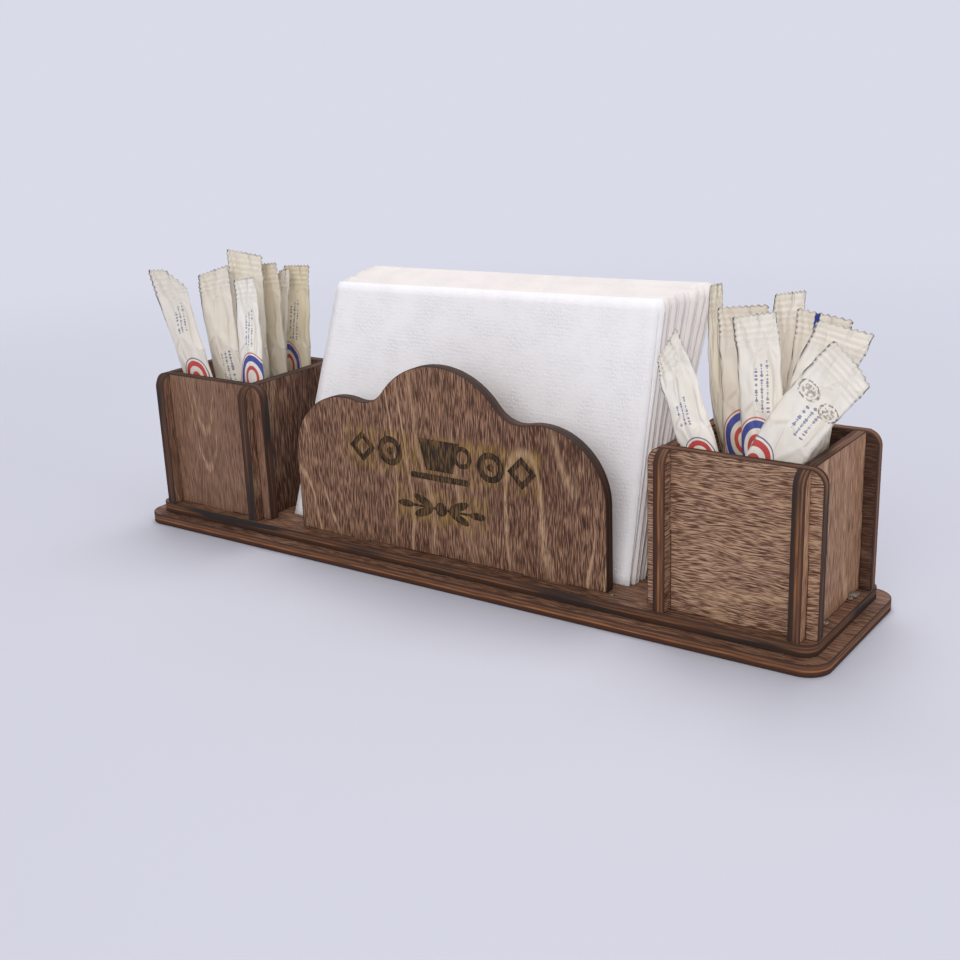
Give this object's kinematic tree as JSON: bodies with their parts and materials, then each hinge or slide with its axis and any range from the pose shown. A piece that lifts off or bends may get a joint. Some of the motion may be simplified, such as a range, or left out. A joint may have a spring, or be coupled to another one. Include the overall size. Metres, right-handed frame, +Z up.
{
  "type": "napkin dispenser",
  "caption": "Plywood table caddy with a scalloped napkin holder between two square boxes of paper sugar sticks.",
  "frame": {"origin": "centre of the base plate's underside", "axes": "+X along the caddy to its right end, +Y from the front rail to the back, +Z up"},
  "size_m": [0.2826, 0.0656, 0.1003],
  "materials": {
    "stained_plywood": "walnut-stained birch plywood, matt, with burnt edges",
    "napkin_tissue": "white embossed tissue, matt",
    "stick_paper": "ivory paper with a slight sheen"
  },
  "bodies": {
    "caddy": {"base_plate": "stained_plywood", "deck_plate": "stained_plywood", "rail_front": "stained_plywood", "rail_back": "stained_plywood", "left_box_front": "stained_plywood", "left_box_back": "stained_plywood", "left_box_left_side": "stained_plywood", "left_box_right_side": "stained_plywood", "right_box_front": "stained_plywood", "right_box_back": "stained_plywood", "right_box_left_side": "stained_plywood", "right_box_right_side": "stained_plywood"},
    "napkin_01_body": {"napkin_01": "napkin_tissue"},
    "napkin_02_body": {"napkin_02": "napkin_tissue"},
    "napkin_03_body": {"napkin_03": "napkin_tissue"},
    "napkin_04_body": {"napkin_04": "napkin_tissue"},
    "napkin_05_body": {"napkin_05": "napkin_tissue"},
    "napkin_06_body": {"napkin_06": "napkin_tissue"},
    "napkin_07_body": {"napkin_07": "napkin_tissue"},
    "napkin_08_body": {"napkin_08": "napkin_tissue"},
    "napkin_09_body": {"napkin_09": "napkin_tissue"},
    "napkin_10_body": {"napkin_10": "napkin_tissue"},
    "napkin_11_body": {"napkin_11": "napkin_tissue"},
    "sugar_stick_r1_body": {"sugar_stick_r1": "stick_paper"},
    "sugar_stick_r2_body": {"sugar_stick_r2": "stick_paper"},
    "sugar_stick_r3_body": {"sugar_stick_r3": "stick_paper"},
    "sugar_stick_r4_body": {"sugar_stick_r4": "stick_paper"},
    "sugar_stick_r5_body": {"sugar_stick_r5": "stick_paper"},
    "sugar_stick_r6_body": {"sugar_stick_r6": "stick_paper"},
    "sugar_stick_r7_body": {"sugar_stick_r7": "stick_paper"},
    "sugar_stick_r8_body": {"sugar_stick_r8": "stick_paper"},
    "sugar_stick_l1_body": {"sugar_stick_l1": "stick_paper"},
    "sugar_stick_l2_body": {"sugar_stick_l2": "stick_paper"},
    "sugar_stick_l3_body": {"sugar_stick_l3": "stick_paper"},
    "sugar_stick_l4_body": {"sugar_stick_l4": "stick_paper"},
    "sugar_stick_l5_body": {"sugar_stick_l5": "stick_paper"},
    "sugar_stick_l6_body": {"sugar_stick_l6": "stick_paper"},
    "sugar_stick_l7_body": {"sugar_stick_l7": "stick_paper"}
  },
  "joints": [
    {"name": "napkin_01_lift", "type": "slide", "parent": "caddy", "child": "napkin_01_body", "axis": [0, 0.2866, 0.958], "range_m": [0, 0.08]},
    {"name": "napkin_02_lift", "type": "slide", "parent": "caddy", "child": "napkin_02_body", "axis": [0, 0.2866, 0.958], "range_m": [0, 0.08]},
    {"name": "napkin_03_lift", "type": "slide", "parent": "caddy", "child": "napkin_03_body", "axis": [0, 0.2866, 0.958], "range_m": [0, 0.08]},
    {"name": "napkin_04_lift", "type": "slide", "parent": "caddy", "child": "napkin_04_body", "axis": [0, 0.2866, 0.958], "range_m": [0, 0.08]},
    {"name": "napkin_05_lift", "type": "slide", "parent": "caddy", "child": "napkin_05_body", "axis": [0, 0.2866, 0.958], "range_m": [0, 0.08]},
    {"name": "napkin_06_lift", "type": "slide", "parent": "caddy", "child": "napkin_06_body", "axis": [0, 0.2866, 0.958], "range_m": [0, 0.08]},
    {"name": "napkin_07_lift", "type": "slide", "parent": "caddy", "child": "napkin_07_body", "axis": [0, 0.2866, 0.958], "range_m": [0, 0.08]},
    {"name": "napkin_08_lift", "type": "slide", "parent": "caddy", "child": "napkin_08_body", "axis": [0, 0.2866, 0.958], "range_m": [0, 0.08]},
    {"name": "napkin_09_lift", "type": "slide", "parent": "caddy", "child": "napkin_09_body", "axis": [0, 0.2866, 0.958], "range_m": [0, 0.08]},
    {"name": "napkin_10_lift", "type": "slide", "parent": "caddy", "child": "napkin_10_body", "axis": [0, 0.2866, 0.958], "range_m": [0, 0.08]},
    {"name": "napkin_11_lift", "type": "slide", "parent": "caddy", "child": "napkin_11_body", "axis": [0, 0.2866, 0.958], "range_m": [0, 0.08]},
    {"name": "sugar_stick_r1_lift", "type": "slide", "parent": "caddy", "child": "sugar_stick_r1_body", "axis": [0.3795, 0, 0.9252], "range_m": [0, 0.06]},
    {"name": "sugar_stick_r2_lift", "type": "slide", "parent": "caddy", "child": "sugar_stick_r2_body", "axis": [-0.2656, 0, 0.9641], "range_m": [0, 0.06]},
    {"name": "sugar_stick_r3_lift", "type": "slide", "parent": "caddy", "child": "sugar_stick_r3_body", "axis": [-0.061, 0, 0.9981], "range_m": [0, 0.06]},
    {"name": "sugar_stick_r4_lift", "type": "slide", "parent": "caddy", "child": "sugar_stick_r4_body", "axis": [0.2756, 0, 0.9613], "range_m": [0, 0.06]},
    {"name": "sugar_stick_r5_lift", "type": "slide", "parent": "caddy", "child": "sugar_stick_r5_body", "axis": [-0.0663, 0, 0.9978], "range_m": [0, 0.06]},
    {"name": "sugar_stick_r6_lift", "type": "slide", "parent": "caddy", "child": "sugar_stick_r6_body", "axis": [0.1132, 0, 0.9936], "range_m": [0, 0.06]},
    {"name": "sugar_stick_r7_lift", "type": "slide", "parent": "caddy", "child": "sugar_stick_r7_body", "axis": [0.0262, 0, 0.9997], "range_m": [0, 0.06]},
    {"name": "sugar_stick_r8_lift", "type": "slide", "parent": "caddy", "child": "sugar_stick_r8_body", "axis": [-0.1097, 0, 0.994], "range_m": [0, 0.06]},
    {"name": "sugar_stick_l1_lift", "type": "slide", "parent": "caddy", "child": "sugar_stick_l1_body", "axis": [0.014, 0, 0.9999], "range_m": [0, 0.06]},
    {"name": "sugar_stick_l2_lift", "type": "slide", "parent": "caddy", "child": "sugar_stick_l2_body", "axis": [-0.2823, 0, 0.9593], "range_m": [0, 0.06]},
    {"name": "sugar_stick_l3_lift", "type": "slide", "parent": "caddy", "child": "sugar_stick_l3_body", "axis": [-0.1045, 0, 0.9945], "range_m": [0, 0.06]},
    {"name": "sugar_stick_l4_lift", "type": "slide", "parent": "caddy", "child": "sugar_stick_l4_body", "axis": [0.0087, 0, 1], "range_m": [0, 0.06]},
    {"name": "sugar_stick_l5_lift", "type": "slide", "parent": "caddy", "child": "sugar_stick_l5_body", "axis": [-0.0436, 0, 0.999], "range_m": [0, 0.06]},
    {"name": "sugar_stick_l6_lift", "type": "slide", "parent": "caddy", "child": "sugar_stick_l6_body", "axis": [0.1045, 0, 0.9945], "range_m": [0, 0.06]},
    {"name": "sugar_stick_l7_lift", "type": "slide", "parent": "caddy", "child": "sugar_stick_l7_body", "axis": [0.0384, 0, 0.9993], "range_m": [0, 0.06]}
  ]
}
